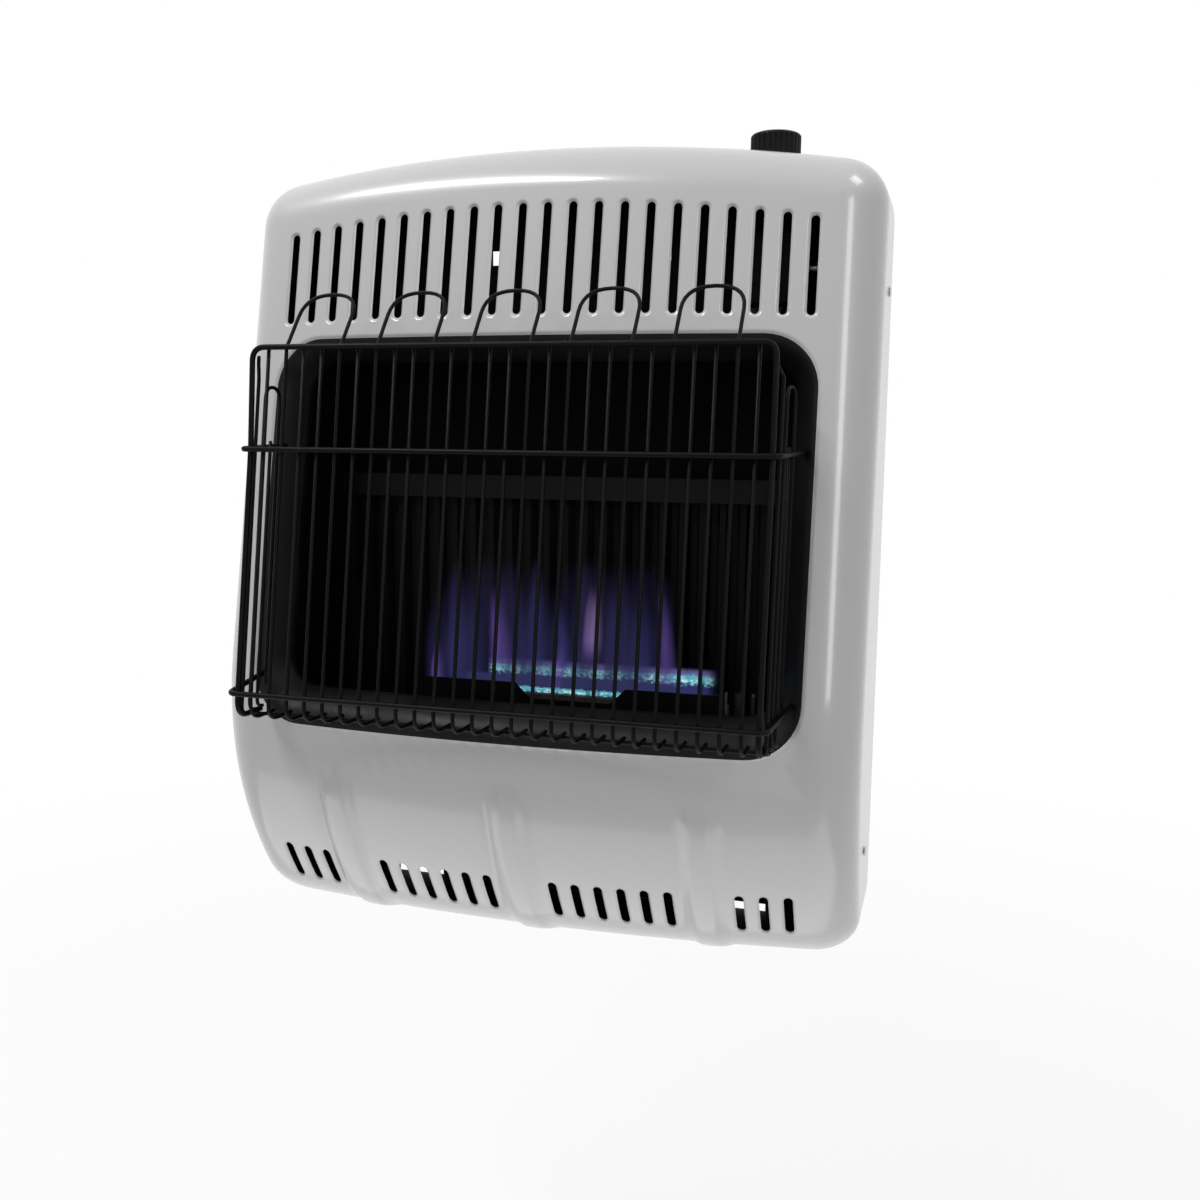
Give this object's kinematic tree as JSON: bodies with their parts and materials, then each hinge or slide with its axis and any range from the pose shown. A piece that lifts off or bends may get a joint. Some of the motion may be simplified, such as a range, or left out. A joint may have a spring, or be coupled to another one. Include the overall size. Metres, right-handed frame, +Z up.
{
  "type": "gas space heater",
  "caption": "Wall-hung vent-free blue flame gas heater: bowed pressed steel case with outlet louvres, fire opening behind a wire guard, burner, pilot, gas valve and a push-and-turn knob.",
  "frame": {"origin": "on the wall plane, at the middle of the lower edge of the case", "axes": "+Z up, +Y into the wall, +X to the right as seen from the room"},
  "size_m": [0.5164, 0.2349, 0.6413],
  "materials": {
    "case_enamel": "glossy light grey enamel",
    "black_enamel": "satin black heat-proof enamel",
    "guard_coating": "satin black coated wire",
    "knob_plastic": "satin moulded plastic",
    "galvanised_steel": "galvanised sheet",
    "burner_steel": "heat-darkened steel",
    "aluminium": "satin",
    "brass": "turned",
    "copper": "drawn copper tube",
    "lead_rubber": "silicone lead insulation",
    "ceramic": "unglazed",
    "screw_steel": "plated"
  },
  "bodies": {
    "root": {"outer_case": "case_enamel", "back_panel": "galvanised_steel", "opening_frame": "black_enamel", "firebox_left_wall": "black_enamel", "firebox_right_wall": "black_enamel", "firebox_floor": "black_enamel", "firebox_hood": "black_enamel", "firebox_back": "black_enamel", "rear_shield": "black_enamel", "baffle_bar": "black_enamel", "guard_top_rail": "guard_coating", "guard_middle_rail": "guard_coating", "guard_bottom_rail": "guard_coating", "guard_rear_rail": "guard_coating", "guard_uprights": "guard_coating", "guard_hoops": "guard_coating", "guard_side_wires": "guard_coating", "burner_box": "burner_steel", "burner_front_plate": "black_enamel", "venturi": "aluminium", "injector": "brass", "injector_bracket": "galvanised_steel", "pilot_bracket": "galvanised_steel", "pilot_burner": "brass", "thermocouple": "screw_steel", "igniter_electrode": "ceramic", "pilot_tube": "aluminium", "thermocouple_lead": "copper", "ignition_lead": "lead_rubber", "gas_valve": "aluminium", "valve_bracket": "galvanised_steel", "return_spring": "screw_steel", "regulator": "aluminium", "regulator_bracket": "galvanised_steel", "supply_pipe": "aluminium", "manifold_pipe": "aluminium", "thermostat_bulb": "copper", "bulb_clips": "galvanised_steel", "capillary": "copper", "case_screws": "screw_steel"},
    "push_collar": {"push_collar": "screw_steel"},
    "knob": {"control_knob": "knob_plastic", "valve_stem": "screw_steel"}
  },
  "joints": [
    {"name": "knob_push", "type": "slide", "parent": "root", "child": "push_collar", "axis": [0, 0, -1], "range_m": [0, 0.005], "stiffness_N_per_m": 800, "springref_m": -0.01, "deforming": ["return_spring"]},
    {"name": "knob_turn", "type": "hinge", "parent": "push_collar", "child": "knob", "pos_m": [0.166, -0.026, 0.62], "axis": [0, 0, 1], "range_deg": [0, 270]}
  ]
}
